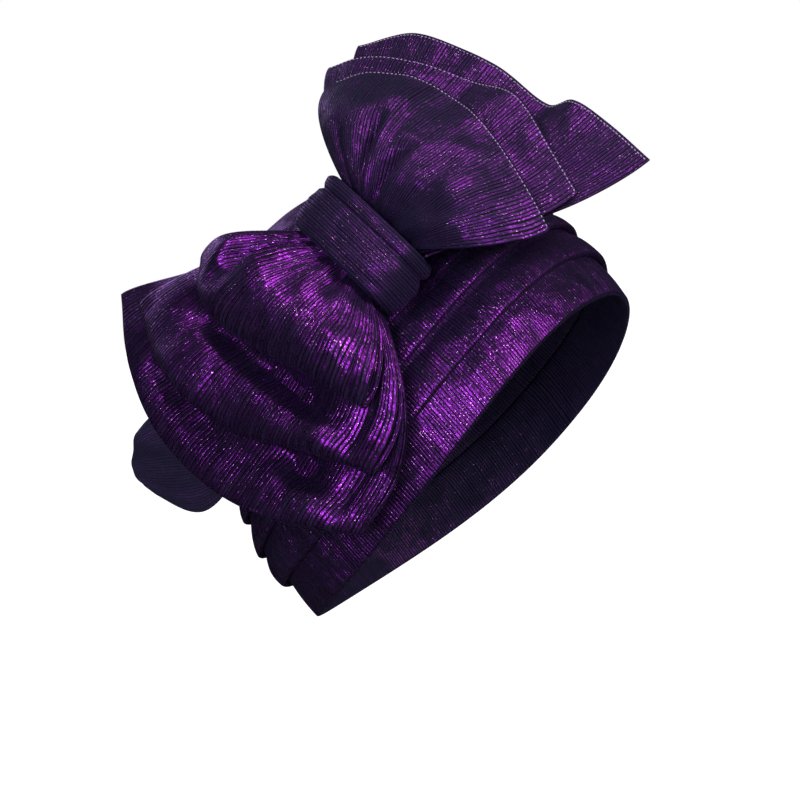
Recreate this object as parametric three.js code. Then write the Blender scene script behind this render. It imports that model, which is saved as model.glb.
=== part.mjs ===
import * as THREE from "three";

// A pre-tied turban cap of ribbed metallic jersey with a large side bow.
// Millimetres. +Z is up with the head upright, the wearer faces -Y, the wearer's right is -X.
// The origin is the middle of the rim, where the head sits in.

// Cap
const rimHalfWidth = 81;
const rimHalfLength = 94.5;
const rimSquareness = 2.17;
const rimTilt = 31; // degrees, the nape is lower than the brow
const rimDip = 5.6; // how far the rim drops over the ears and rises at brow and nape
const crownHeight = 131; // apex above the rim plane
const girthHeight = 32; // where the cap is widest
const girthSwell = 2.6; // how much wider than the rim it is there
const crownRoundness = 2.2;
const napeIn = 1.3; // how much shorter the back half is than the front
const napeFlat = 2.8; // and how much shorter again above the rim
const napeRise = 18; // height over which it gets so
const napeLean = 15; // how far the back leans in over the nape
const leanFrom = 25; // heights between which it does
const leanTo = 60;
const wall = 1.6; // one layer of the ribbed cloth, with its lining
const gap = 0.4; // clear space between pieces
const roundSteps = 40; // steps round the head

// Bow
const knotRight = 0.9284 * rimHalfWidth; // knot middle, to the wearer's right of the rim middle
const knotFront = 0.8466 * rimHalfLength;
const knotAbove = 0.5702 * crownHeight; // above the rim plane
const bowFacing = 59; // degrees, from straight ahead towards the wearer's right
const bowLean = 19.5; // degrees, how much the bow faces upwards
const bowRoll = 5;
const neckHalf = 22; // half width of the gathered neck inside the knot
const neckLength = 12.5; // from the knot's middle to where the cloth springs out
const wingReach = 110; // knot middle to the farthest edge
const wingHalf = 95; // half of the largest spread
const upperBend = 8; // degrees, how the wings fall back towards the head
const lowerBend = 12;
const bendTurn = 25; // length over which a wing turns that way
const pleatDepth = 1.7; // gathers at the neck
const pleatCount = 4;

// Knot
const knotHalfLength = 29;
const knotHalfDepth = 17.5;
const knotHalfBand = 12;
const knotSkew = 0.08; // how much the band leans along the bow, per mm up it

const rad = THREE.MathUtils.degToRad;
const clamp = (x, a = 0, b = 1) => Math.min(b, Math.max(a, x));
const lerp = (a, b, t) => a + (b - a) * t;
const smooth = (x) => x * x * (3 - 2 * x);
const power = (x, p) => Math.sign(x) * Math.abs(x) ** p;
const bump = (x, middle, width) => Math.exp(-(((x - middle) / width) ** 2));

// A smooth curve through the rows of a table, read at `at` in the column `key`.
function read(rows, column, key, at) {
  const last = rows.length - 1;
  let i = 0;
  while (i < last - 1 && rows[i + 1][key] < at) i++;
  const [a, b] = [rows[i], rows[i + 1]];
  const t = clamp((at - a[key]) / (b[key] - a[key]));
  const before = rows[Math.max(0, i - 1)];
  const after = rows[Math.min(last, i + 2)];
  const span = b[key] - a[key];
  const slopeA = ((b[column] - before[column]) / (b[key] - before[key])) * span;
  const slopeB = ((after[column] - a[column]) / (after[key] - a[key])) * span;
  const t2 = t * t;
  const t3 = t2 * t;
  return (
    (2 * t3 - 3 * t2 + 1) * a[column] +
    (t3 - 2 * t2 + t) * slopeA +
    (3 * t2 - 2 * t3) * b[column] +
    (t3 - t2) * slopeB
  );
}

// ---- the solid builders ----

function solid(name, points, faces) {
  const geometry = new THREE.BufferGeometry();
  geometry.setAttribute(
    "position",
    new THREE.Float32BufferAttribute(points.flatMap((p) => p.toArray()), 3),
  );
  geometry.setIndex(faces);
  geometry.computeVertexNormals();
  const mesh = new THREE.Mesh(
    geometry,
    new THREE.MeshStandardMaterial({ color: 0x3a1450, roughness: 0.5, metalness: 0.3 }),
  );
  mesh.name = name;
  return mesh;
}

// A ring: for each of `steps` angles a closed profile of points, joined all round.
function ringSolid(name, steps, profileAt) {
  const points = [];
  for (let i = 0; i < steps; i++) points.push(...profileAt((2 * Math.PI * i) / steps));
  const n = points.length / steps;
  const faces = [];
  for (let i = 0; i < steps; i++)
    for (let j = 0; j < n; j++) {
      const a = i * n + j;
      const b = i * n + ((j + 1) % n);
      const c = ((i + 1) % steps) * n + ((j + 1) % n);
      const d = ((i + 1) % steps) * n + j;
      faces.push(a, b, c, a, c, d);
    }
  return solid(name, points, faces);
}

// A bowl: an open profile for each angle whose two ends meet at one point each.
function bowlSolid(name, steps, profileAt, outerTop, innerTop) {
  const points = [];
  for (let i = 0; i < steps; i++) points.push(...profileAt((2 * Math.PI * i) / steps));
  const n = points.length / steps;
  const faces = [];
  const outer = points.push(outerTop) - 1;
  const inner = points.push(innerTop) - 1;
  for (let i = 0; i < steps; i++) {
    const here = i * n;
    const next = ((i + 1) % steps) * n;
    faces.push(outer, next, here, inner, here + n - 1, next + n - 1);
    for (let j = 0; j + 1 < n; j++)
      faces.push(here + j, next + j + 1, here + j + 1, here + j, next + j, next + j + 1);
  }
  return solid(name, points, faces);
}

// A sheet of cloth: surfaceAt(i, j) on a grid, thickened by half a wall to each side.
function sheetSolid(name, columns, rows, surfaceAt, thickness = wall) {
  const middle = [];
  for (let i = 0; i <= columns; i++) {
    middle.push([]);
    for (let j = 0; j <= rows; j++) middle[i].push(surfaceAt(i / columns, j / rows));
  }
  const at = (i, j) => middle[clamp(i, 0, columns)][clamp(j, 0, rows)];
  const points = [];
  for (const side of [1, -1])
    for (let i = 0; i <= columns; i++)
      for (let j = 0; j <= rows; j++) {
        const along = at(i + 1, j).clone().sub(at(i - 1, j));
        const across = at(i, j + 1).clone().sub(at(i, j - 1));
        const normal = along.cross(across).normalize();
        points.push(at(i, j).clone().addScaledVector(normal, (side * thickness) / 2));
      }
  const half = (columns + 1) * (rows + 1);
  const id = (side, i, j) => side * half + i * (rows + 1) + j;
  const faces = [];
  const quad = (a, b, c, d) => faces.push(a, b, c, a, c, d);
  for (let i = 0; i < columns; i++)
    for (let j = 0; j < rows; j++) {
      quad(id(0, i, j), id(0, i + 1, j), id(0, i + 1, j + 1), id(0, i, j + 1));
      quad(id(1, i, j), id(1, i, j + 1), id(1, i + 1, j + 1), id(1, i + 1, j));
    }
  for (let i = 0; i < columns; i++) {
    quad(id(1, i, 0), id(1, i + 1, 0), id(0, i + 1, 0), id(0, i, 0));
    quad(id(0, i, rows), id(0, i + 1, rows), id(1, i + 1, rows), id(1, i, rows));
  }
  for (let j = 0; j < rows; j++) {
    quad(id(0, 0, j), id(0, 0, j + 1), id(1, 0, j + 1), id(1, 0, j));
    quad(id(1, columns, j), id(1, columns, j + 1), id(0, columns, j + 1), id(0, columns, j));
  }
  return solid(name, points, faces);
}

// ---- the cap, in the rim's own plane: z from the rim to the crown ----

// How wide the cap is at a height, as a share of its girth.
function girthShare(z) {
  if (z < girthHeight) {
    const down = (girthHeight - z) / girthHeight;
    return 1 - (girthSwell / rimHalfWidth) * down * down;
  }
  const up = clamp((z - girthHeight) / (crownHeight - girthHeight));
  return (1 - up ** crownRoundness) ** (1 / crownRoundness);
}

function capPoint(turn, z, outward) {
  const share = (height) => girthShare(clamp(height, 0, crownHeight));
  const r = share(z);
  const step = crownHeight / 250;
  const slope = ((share(z + step) - share(z - step)) * rimHalfWidth) / (2 * step);
  const tilt = Math.atan(-slope);
  const e = 2 / rimSquareness;
  const grow = outward * Math.cos(tilt);
  const side = (rimHalfWidth + girthSwell) * r + grow;
  const length = (rimHalfLength + girthSwell) * r + grow;
  const fade = clamp(1 - z / crownHeight);
  const inset = napeIn + napeFlat * clamp(z / napeRise) * fade;
  const behind = clamp(-Math.cos(turn)) ** 1.25;
  const lean = napeLean * smooth(clamp((z - leanFrom) / (leanTo - leanFrom))) * r * behind;
  return new THREE.Vector3(
    -side * power(Math.sin(turn), e),
    -(length - inset) * power(Math.cos(turn), e) - inset - lean,
    z + outward * Math.sin(tilt) + rimDip * fade * Math.cos(2 * turn),
  );
}

// lower: its edge as a share of crownHeight; under: how far its inside stands off over the ring below;
// swell: how far the rolled lower edge stands out; sway: slow unevenness of that edge. All in walls.
const rings = [
  { name: "front_band", lower: 0.0, under: 0, swell: 1.25, sway: 0 },
  { name: "fold_ring_1", lower: 0.141, under: 1.02, swell: 2.75, sway: 0.25 },
  { name: "fold_ring_2", lower: 0.27, under: 1.02, swell: 2.75, sway: 0.5 },
  { name: "fold_ring_3", lower: 0.372, under: 1.02, swell: 2.7, sway: 0.62 },
  { name: "crown", lower: 0.45, under: 1.02, swell: 2.6, sway: 0.69 },
];
const tuck = 5; // how far each ring runs up under the next

// The side of a ring: up: share of its height in sight; face: 1 on the swollen face, 0 at the top.
const rollProfile = [
  { up: 0.02, face: 0.72 },
  { up: 0.1, face: 1 },
  { up: 0.34, face: 0.94 },
  { up: 0.6, face: 0.66 },
  { up: 0.82, face: 0.26 },
  { up: 0.95, face: 0 },
];

function swayAt(row, turn) {
  const waves = Math.sin(3 * turn + 9 * row.lower) + 0.6 * Math.sin(5 * turn + 20 * row.lower);
  return row.sway * wall * waves;
}

function ringPiece(row, index) {
  const above = rings[index + 1];
  const swell = row.swell * wall;
  const inside = row.under * wall;
  const topOut = 0.8 * wall;
  return ringSolid(row.name, roundSteps, (turn) => {
    const low = row.lower * crownHeight + swayAt(row, turn);
    const high = above.lower * crownHeight + swayAt(above, turn);
    const at = (z, out) => capPoint(turn, z, out);
    const outer = rollProfile.map((p) => at(lerp(low, high, p.up), lerp(topOut, swell, p.face)));
    outer.push(at(high + tuck, topOut));
    const inner = [at(high + tuck, 0)];
    if (inside) inner.push(at(low + tuck + 1.6 * wall, 0), at(low + tuck + 0.6 * wall, inside), at(low + 0.5 * wall, inside));
    else inner.push(at(lerp(low, high, 0.5), 0), at(low, 0));
    return [...outer, ...inner];
  });
}

// Broad gathers of the crown cloth, running up from the tail's root.
function crownGather(turn, rise) {
  const back = bump(Math.abs(turn - Math.PI), 0, 1.1);
  return -0.8 * wall * back * Math.cos(9 * turn) * Math.sin(Math.PI * clamp(rise * 1.1));
}

function crownPiece() {
  const row = rings[rings.length - 1];
  const bottom = row.lower * crownHeight;
  const tall = crownHeight - bottom;
  const swell = row.swell * wall;
  const rises = [0.9, 0.8, 0.68, 0.55, 0.42, 0.28, 0.15];
  return bowlSolid(
    row.name,
    roundSteps,
    (turn) => {
      const low = swayAt(row, turn);
      // rise runs evenly over the dome from the edge to the apex
      const at = (rise, out) => {
        const z = bottom + tall * Math.sin((Math.PI / 2) * rise) ** 1.15;
        return capPoint(turn, z + low * (1 - rise) ** 2, out);
      };
      const swollen = (rise) => lerp(1.1 * wall, swell, bump(rise, 0.06, 0.16)) + crownGather(turn, rise);
      const outer = rises.map((rise) => at(rise, swollen(rise)));
      outer.push(at(0.05, swell), at(0.012, 0.75 * swell));
      const inner = [at(0.03, row.under * wall), at(0.16, row.under * wall), at(0.24, 0)];
      for (const rise of [0.5, 0.72, 0.88]) inner.push(at(rise, 0));
      return [...outer, ...inner];
    },
    new THREE.Vector3(0, 0, crownHeight + 1.1 * wall),
    new THREE.Vector3(0, 0, crownHeight - 0.4 * wall),
  );
}

// ---- the bow, in its own frame: x along the wings, y up the spread, h towards the viewer ----

const bowFrame = (() => {
  const out = new THREE.Vector3(-Math.sin(rad(bowFacing)), -Math.cos(rad(bowFacing)), 0);
  const level = new THREE.Vector3(Math.cos(rad(bowFacing)), -Math.sin(rad(bowFacing)), 0);
  const up = new THREE.Vector3(0, 0, 1);
  const mix = (a, ca, b, cb) => a.clone().multiplyScalar(ca).addScaledVector(b, cb);
  const facing = mix(out, Math.cos(rad(bowLean)), up, Math.sin(rad(bowLean)));
  const rise = mix(up, Math.cos(rad(bowLean)), out, -Math.sin(rad(bowLean)));
  return {
    middle: new THREE.Vector3(-knotRight, -knotFront, knotAbove),
    along: mix(level, Math.cos(rad(bowRoll)), rise, Math.sin(rad(bowRoll))),
    across: mix(rise, Math.cos(rad(bowRoll)), level, -Math.sin(rad(bowRoll))),
    facing,
  };
})();

function bowPoint(x, y, h) {
  return bowFrame.middle
    .clone()
    .addScaledVector(bowFrame.along, x)
    .addScaledVector(bowFrame.across, y)
    .addScaledVector(bowFrame.facing, h);
}

// How far a wing has fallen back at a distance from the knot.
function fallBack(x, bend) {
  const u = Math.max(0, x - neckLength);
  return -Math.tan(rad(bend)) * (u < bendTurn ? (u * u) / (2 * bendTurn) : u - bendTurn / 2);
}

// Outer edges. s: place across the cloth, -1 low edge to 1 high edge; reach: share of wingReach;
// spread: share of wingHalf; lift: how the edge waves towards the viewer, in walls.
const edges = {
  upper_loop_front: [
    { s: -1, reach: 0.44, spread: -0.59, lift: -4.5 },
    { s: -0.7, reach: 0.51, spread: -0.4, lift: -0.5 },
    { s: -0.35, reach: 0.575, spread: -0.17, lift: 1 },
    { s: 0, reach: 0.61, spread: 0.05, lift: 0.5 },
    { s: 0.4, reach: 0.59, spread: 0.32, lift: 1 },
    { s: 0.72, reach: 0.51, spread: 0.52, lift: 0 },
    { s: 1, reach: 0.41, spread: 0.67, lift: -4 },
  ],
  upper_loop_middle: [
    { s: -1, reach: 0.615, spread: -0.515, lift: -3.5 },
    { s: -0.7, reach: 0.68, spread: -0.32, lift: -0.5 },
    { s: -0.3, reach: 0.765, spread: -0.03, lift: 1 },
    { s: 0.02, reach: 0.73, spread: 0.18, lift: -1.5 },
    { s: 0.35, reach: 0.67, spread: 0.41, lift: 0.8 },
    { s: 0.72, reach: 0.57, spread: 0.67, lift: -0.5 },
    { s: 1, reach: 0.455, spread: 0.82, lift: -3.5 },
  ],
  upper_loop_back: [
    { s: -1, reach: 0.875, spread: -0.6, lift: -2.5 },
    { s: -0.68, reach: 0.885, spread: -0.38, lift: 2 },
    { s: -0.44, reach: 0.88, spread: -0.2, lift: 2.8 },
    { s: -0.24, reach: 0.83, spread: -0.07, lift: -2.5 },
    { s: 0.12, reach: 0.83, spread: 0.22, lift: 1 },
    { s: 0.6, reach: 0.76, spread: 0.63, lift: 0.5 },
    { s: 1, reach: 0.6, spread: 0.85, lift: -2.5 },
  ],
  lower_loop_front: [
    { s: -1, reach: 0.435, spread: -0.52, lift: -2.5 },
    { s: -0.6, reach: 0.47, spread: -0.29, lift: 0.5 },
    { s: -0.2, reach: 0.505, spread: -0.06, lift: 0 },
    { s: 0.2, reach: 0.53, spread: 0.17, lift: 1 },
    { s: 0.6, reach: 0.505, spread: 0.39, lift: 0 },
    { s: 1, reach: 0.4, spread: 0.54, lift: -3 },
  ],
  lower_loop_middle: [
    { s: -1, reach: 0.585, spread: -0.64, lift: -2.5 },
    { s: -0.6, reach: 0.67, spread: -0.37, lift: 0.5 },
    { s: -0.2, reach: 0.765, spread: -0.08, lift: -1 },
    { s: 0.2, reach: 0.81, spread: 0.21, lift: 1.5 },
    { s: 0.6, reach: 0.77, spread: 0.5, lift: 0 },
    { s: 1, reach: 0.67, spread: 0.78, lift: -2 },
  ],
  lower_loop_back: [
    { s: -1, reach: 0.77, spread: -0.68, lift: -1 },
    { s: -0.6, reach: 0.92, spread: -0.36, lift: 0.5 },
    { s: -0.2, reach: 0.995, spread: 0, lift: -0.5 },
    { s: 0.2, reach: 0.98, spread: 0.37, lift: 1 },
    { s: 0.6, reach: 0.87, spread: 0.71, lift: 0 },
    { s: 1, reach: 0.68, spread: 1, lift: -1.5 },
  ],
};

// Folded-in creases that rise from the knot. s: place across the cloth; lean: how s shifts on the way
// out; from, to: where along the way; width in s; depth in walls.
const creases = {
  upper_loop_front: [
    { s: 0.42, lean: -0.1, from: 0, to: 0.62, width: 0.09, depth: 3.4 },
    { s: 0.12, lean: -0.25, from: 0, to: 0.55, width: 0.1, depth: 3 },
    { s: -0.55, lean: -0.2, from: 0, to: 0.5, width: 0.14, depth: 2 },
  ],
  upper_loop_middle: [{ s: 0.05, lean: 0, from: 0.5, to: 1.1, width: 0.12, depth: 1.2 }],
  upper_loop_back: [{ s: -0.2, lean: 0, from: 0.3, to: 1.2, width: 0.12, depth: 2 }],
  lower_loop_front: [
    { s: 0.38, lean: 0.16, from: 0, to: 0.85, width: 0.13, depth: 3.2 },
    { s: -0.3, lean: -0.05, from: 0, to: 0.4, width: 0.16, depth: 2.6 },
  ],
  lower_loop_middle: [
    { s: 0.25, lean: -0.1, from: 0.35, to: 1, width: 0.14, depth: 2.2 },
    { s: -0.45, lean: 0.05, from: 0.3, to: 0.95, width: 0.16, depth: 2 },
  ],
  lower_loop_back: [
    { s: 0.05, lean: 0.05, from: 0.4, to: 1, width: 0.13, depth: 1.6 },
    { s: -0.55, lean: 0, from: 0.4, to: 1, width: 0.16, depth: 1.6 },
  ],
};

// neck: height of the layer in the knot; out: height at its outer edge; front, back: how far its plies
// puff; split: half the space between its plies in the knot; curl: how its side edges turn back, all in
// walls. low, high: how roundly its low and high side edges spread from the knot, 1 for straight.
const layers = {
  upper_loop_front: { wing: 1, neck: 3.6, out: 3.8, front: 6.5, back: 0, split: 0, curl: 2.2, low: 2, high: 1.9 },
  upper_loop_middle: { wing: 1, neck: -0.6, out: -1.9, front: 2, back: 0, split: 0, curl: 2.2, low: 1.7, high: 1.45 },
  upper_loop_back: { wing: 1, neck: -4.4, out: -7.5, front: 0, back: 0, split: 0, curl: 1.2, low: 1.4, high: 1.3 },
  lower_loop_front: { wing: -1, neck: 4, out: 7.5, front: 6.2, back: 2.5, split: 1, curl: 2.1, low: 2.3, high: 1.8 },
  lower_loop_middle: { wing: -1, neck: -0.4, out: -1.3, front: 5, back: 1.8, split: 1, curl: 2.6, low: 2.8, high: 1.4 },
  lower_loop_back: { wing: -1, neck: -5.1, out: -9.8, front: 2.4, back: 2.5, split: 1, curl: 1.8, low: 3.2, high: 1.15 },
};

// Where the cloth of a layer lies. s: -1..1 across, t: 0 at the knot to 1 at the outer edge,
// ply: 1 front, -1 back, 0 for a single layer.
function layerPoint(name, s, t, ply) {
  const layer = layers[name];
  const bend = layer.wing > 0 ? upperBend : lowerBend;
  const reach = read(edges[name], "reach", "s", s) * wingReach;
  const spread = read(edges[name], "spread", "s", s) * wingHalf;
  const lift = read(edges[name], "lift", "s", s);
  const start = gap / 2;
  const neckY = s * neckHalf;
  const skew = layer.wing * knotSkew * neckY;
  const neckShare = (neckLength - start) / (reach - skew - start);
  const x = lerp(start + skew, reach, t);
  const free = clamp((t - neckShare) / (1 - neckShare));
  const flare = 1 - (1 - free) ** lerp(layer.low, layer.high, (s + 1) / 2);
  const y = lerp(neckY, spread, flare);
  const sideways = 1 - 0.35 * s * s;
  const pleat = pleatDepth * (1 - s * s) * Math.cos(pleatCount * Math.PI * (s + 0.1)) * (1 - free) ** 2;
  let h = lerp(layer.neck * sideways, layer.out, smooth(clamp(free * 1.4)));
  h += lift * free * free - layer.curl * s ** 4 * Math.sin(Math.PI * clamp(free * 0.9));
  const round = Math.sqrt(1 - free ** 4) * free * (2 - free);
  const closing = 1 - 0.5 * s ** 4;
  let dent = 0;
  for (const c of creases[name]) {
    const window = smooth(clamp((free - c.from + 0.12) / 0.2)) * smooth(clamp((c.to - free) / 0.3 + 0.3));
    dent += c.depth * window * bump(s, c.s + c.lean * free, c.width);
  }
  if (ply > 0) h += layer.split * sideways * (1 - free) + (layer.front * closing - dent) * round;
  else if (ply < 0) h -= layer.split * sideways * (1 - free) + layer.back * closing * round;
  else h += layer.front * Math.sin(Math.PI * free ** 0.8) * closing - dent * Math.sin(Math.PI * clamp(free));
  return bowPoint(layer.wing * x, y, h * wall + pleat + fallBack(x, bend));
}

// A single layer of the upper wing, from the knot to its hem.
function flapPiece(name) {
  return sheetSolid(name, 14, 9, (i, j) => layerPoint(name, 2 * i - 1, j ** 0.9, 0));
}

// A loop of the lower wing: out from the knot, round the outer fold and back to the knot.
function loopPiece(name) {
  return sheetSolid(name, 12, 20, (i, j) => {
    const t = Math.sin(Math.PI * j);
    return layerPoint(name, 1 - 2 * i, t, j < 0.5 ? 1 : -1);
  });
}

// ---- the knot: a band wrapped round the neck of the bow ----

// x: place across the band; out: how far its face stands off the neck, in walls
const knotProfile = [
  { x: -1, out: 0.7 },
  { x: -0.86, out: 1.6 },
  { x: -0.5, out: 2.3 },
  { x: 0, out: 2.5 },
  { x: 0.34, out: 2.1 },
  { x: 0.48, out: 1.3 },
  { x: 0.62, out: 2.1 },
  { x: 0.84, out: 2.2 },
  { x: 1, out: 1.2 },
];

function knotPiece() {
  const inLength = knotHalfLength - 2.2 * wall;
  const inDepth = knotHalfDepth - 2.4 * wall;
  const e = 2 / 2.6;
  return ringSolid("bow_knot", 28, (turn) => {
    const at = (x, out) => {
      const y = (inLength + out) * power(Math.cos(turn), e);
      return bowPoint(x * knotHalfBand + knotSkew * y, y, (inDepth + out) * power(Math.sin(turn), e));
    };
    const outer = knotProfile.map((p) => at(p.x, p.out * wall));
    return [...outer, at(0.96, wall / 8), at(0, 0), at(-0.96, wall / 8)].reverse();
  });
}

// ---- the tail: the flared end of the cap cloth ----

const tailTurn = 150; // degrees round the head from the front, towards the wearer's right
const tailHigh = 0.705 * crownHeight; // ends of its root, above the rim plane
const tailLow = 0.5 * crownHeight;
const tailLength = 36.5;
const tailRootHalf = 17;
const tailEndHalf = 17.5;
const tailBelly = 8.5; // how much wider it is half way
const tailWaveDepth = 2.6;

function tailPiece() {
  const turn = rad(tailTurn);
  const [c, s] = [Math.cos(rad(rimTilt)), Math.sin(rad(rimTilt))];
  const up = new THREE.Vector3(0, -s, c);
  const back = new THREE.Vector3(-0.33, 0.92 * c - 0.2 * s, 0.92 * s + 0.2 * c);
  const face = back.clone().cross(up);
  return sheetSolid("back_tail", 16, 8, (i, j) => {
    const side = 2 * i - 1;
    const root = capPoint(turn, lerp(tailHigh, tailLow, i), lerp(1.4, 2.9, i) * wall);
    const half = lerp(tailRootHalf, tailEndHalf, j) + tailBelly * Math.sin(Math.PI * j);
    const reach = tailLength * (1 - 0.16 * side ** 4 + 0.05 * Math.cos(5 * side)) * j;
    const wave = tailWaveDepth * j * Math.sin(1.7 * Math.PI * side + 2.2 * j);
    return root
      .addScaledVector(back, reach)
      .addScaledVector(up, -side * (half - tailRootHalf))
      .addScaledVector(face, wave);
  });
}

// ---- together ----

const cap = new THREE.Group();
cap.add(...rings.slice(0, -1).map(ringPiece), crownPiece(), tailPiece(), knotPiece());
for (const name of Object.keys(layers)) cap.add(layers[name].wing > 0 ? flapPiece(name) : loopPiece(name));
cap.rotation.x = -rad(rimTilt);

const turban = new THREE.Group();
turban.name = "turban_cap";
turban.add(cap);

export default turban;
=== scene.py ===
"""A pre-tied turban cap of ribbed metallic jersey with a large side bow.

Lengths are in millimetres until a piece is laid down. Everything is drawn in the plane of the cap's rim,
with z from the rim to the crown, and then tipped back to how the cap sits on an upright head.
"""

import math
from collections import namedtuple

import bpy
import numpy as np
from mathutils import Matrix


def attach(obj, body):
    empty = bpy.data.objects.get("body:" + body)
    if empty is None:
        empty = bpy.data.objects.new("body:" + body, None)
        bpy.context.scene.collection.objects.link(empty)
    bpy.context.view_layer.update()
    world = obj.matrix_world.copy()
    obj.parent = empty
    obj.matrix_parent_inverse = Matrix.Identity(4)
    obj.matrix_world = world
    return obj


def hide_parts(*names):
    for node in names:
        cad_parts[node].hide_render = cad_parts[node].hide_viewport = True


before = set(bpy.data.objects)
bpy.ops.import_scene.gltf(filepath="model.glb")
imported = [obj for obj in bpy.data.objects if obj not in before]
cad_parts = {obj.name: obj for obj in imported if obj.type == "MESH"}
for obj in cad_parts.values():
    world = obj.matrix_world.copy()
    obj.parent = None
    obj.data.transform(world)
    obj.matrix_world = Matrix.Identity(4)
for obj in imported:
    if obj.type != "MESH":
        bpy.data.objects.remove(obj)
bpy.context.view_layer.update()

MM = 0.001

# Cap
rim_half_width = 81
rim_half_length = 94.5
rim_squareness = 2.17
rim_tilt = math.radians(31)
rim_dip = 5.6
crown_height = 131
girth_height = 32
girth_swell = 2.6
crown_roundness = 2.2
nape_in = 1.3
nape_flat = 2.8
nape_rise = 18
nape_lean = 15
lean_from = 25
lean_to = 60
wall = 1.6
tuck = 5

# Bow
knot_right = 0.9284 * rim_half_width
knot_front = 0.8466 * rim_half_length
knot_above = 0.5702 * crown_height
bow_facing = math.radians(59)
bow_lean = math.radians(19.5)
bow_roll = math.radians(5)
neck_half = 22
neck_length = 12.5
wing_root = 0.2
wing_reach = 110
wing_half = 95
upper_bend = math.radians(8)
lower_bend = math.radians(12)
bend_turn = 25
pleat_depth = 1.7
pleat_count = 4
cloth_thick = 0.9

# Knot
knot_half_length = 29
knot_half_depth = 17.5
knot_half_band = 12
knot_squareness = 2.6
knot_skew = 0.08

# Tail
tail_turn = math.radians(150)
tail_high = 0.705 * crown_height
tail_low = 0.5 * crown_height
tail_way = (-0.33, 0.92, 0.2)
tail_length = 36.5
tail_root_half = 17
tail_end_half = 17.5
tail_belly = 8.5
tail_wave_depth = 2.6

# Hem stitches: space from one to the next, how far in from the edge as a share of the reach, a place further
# in that shows how the cloth lies there, and half of each stitch's length, width and height
stitch_pitch = 1.9
stitch_in = 1.1 / 90
stitch_far_in = 6 / 90
stitch_size = (0.62, 0.24, 0.2)

# Flat cloth that each piece is cut from, across and along; the crown's is a round
around_rim = 560
ring_cloth_heights = (26, 26, 22, 19)
crown_cloth_reach = 118
knot_cloth_along = 150
tail_cloth_across = 42

# Columns and rows of each cloth's grid
ring_grid = (480, 46)
crown_grid = (400, 96)
flap_grid = (170, 110)
loop_grid = (150, 180)
knot_grid = (260, 60)
tail_grid = (110, 80)

# Relief of the cloth in metres, and where in the noise its slack is taken from
rib_depth = 0.00017
slack_depth = 0.0048
slack_from = (0.93, 0.651, 0)

# Colours
indigo = (0.0105, 0.0085, 0.029)
# Painted shade: the indigo for the tail, dimmed slightly because the tail lies in shade.
tail_shade_indigo = (0.0105, 0.0085, 0.028)
violet_thread = (0.3, 0.022, 0.45)
violet_glint = (0.9, 0.4, 1)
hem_colour = (0.45, 0.36, 0.55)

# Camera, at the wearer's right front and a little above: its right, its up and what it looks at
camera_right = (0.48923, -0.81046, -0.32219)
camera_up = (0.24771, -0.22509, 0.94233)
camera_aim = (-8.66, 19.49, 36.43)
camera_away = 1000
camera_lens = 106.65


# Small maths


def clamp(x, low=0.0, high=1.0):
    return np.clip(x, low, high)


def lerp(a, b, t):
    return a + (b - a) * t


def smooth(x):
    x = clamp(x)
    return x * x * (3 - 2 * x)


def power(x, p):
    return np.sign(x) * np.abs(x) ** p


def bump(x, middle, width):
    return np.exp(-(((x - middle) / width) ** 2))


def cubic(t, start, start_slope, end, end_slope):
    """A smooth run from start to end with the slope given at each, t from 0 to 1."""
    t2, t3 = t * t, t**3
    return (
        (2 * t3 - 3 * t2 + 1) * start
        + (t3 - 2 * t2 + t) * start_slope
        + (3 * t2 - 2 * t3) * end
        + (t3 - t2) * end_slope
    )


def lines_through(corners):
    """A profile for each point. A corner is two places, each a number or one for each point."""
    return np.stack([np.stack(np.broadcast_arrays(a, b), 1) for a, b in corners])


def profile_at(line, j, pull, closed=True):
    """Where each point is on its own smooth profile: line is (corner, point, 2), j from 0 to 1 along it, and
    pull says how broadly it rounds its corners."""
    spans = len(line) if closed else len(line) - 1
    at = (j % 1.0 if closed else clamp(j)) * spans
    k = np.minimum(np.floor(at).astype(int), spans - 1)
    t = (at - k)[:, None]
    mode = "wrap" if closed else "clip"
    corner, every = np.arange(len(line)), np.arange(line.shape[1])
    a, b, c, d = (line[np.take(corner, k + step, mode=mode), every] for step in (-1, 0, 1, 2))
    return cubic(t, b, pull * (c - a), c, pull * (d - b)).T


def crumple(x, y, seed, waves=9):
    """Soft unevenness of handled cloth, about -1 to 1, for places x and y counted in wrinkles."""
    random = np.random.default_rng(seed)
    total = np.zeros_like(x, float)
    for _ in range(waves):
        way, size = random.uniform(0, math.pi), random.uniform(0.5, 1.5)
        phase = random.uniform(0, 2 * math.pi)
        run = (x * math.cos(way) + y * math.sin(way)) * size
        total += np.sin(2 * math.pi * run + phase + 1.2 * np.sin(1.7 * run + 3 * phase))
    return total / math.sqrt(waves)


# Laying cloth


def tipped(points):
    """From the rim's own plane to an upright head, in metres."""
    x, y, z = points.T
    c, s = math.cos(rim_tilt), math.sin(rim_tilt)
    return np.stack([x, y * c + z * s, -y * s + z * c], 1) * MM


def untipped(x, y, z):
    """A way that is given on an upright head, in the rim's own plane."""
    c, s = math.cos(rim_tilt), math.sin(rim_tilt)
    return np.array([x, y * c - z * s, y * s + z * c])


def deselect():
    bpy.ops.object.select_all(action="DESELECT")


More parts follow.
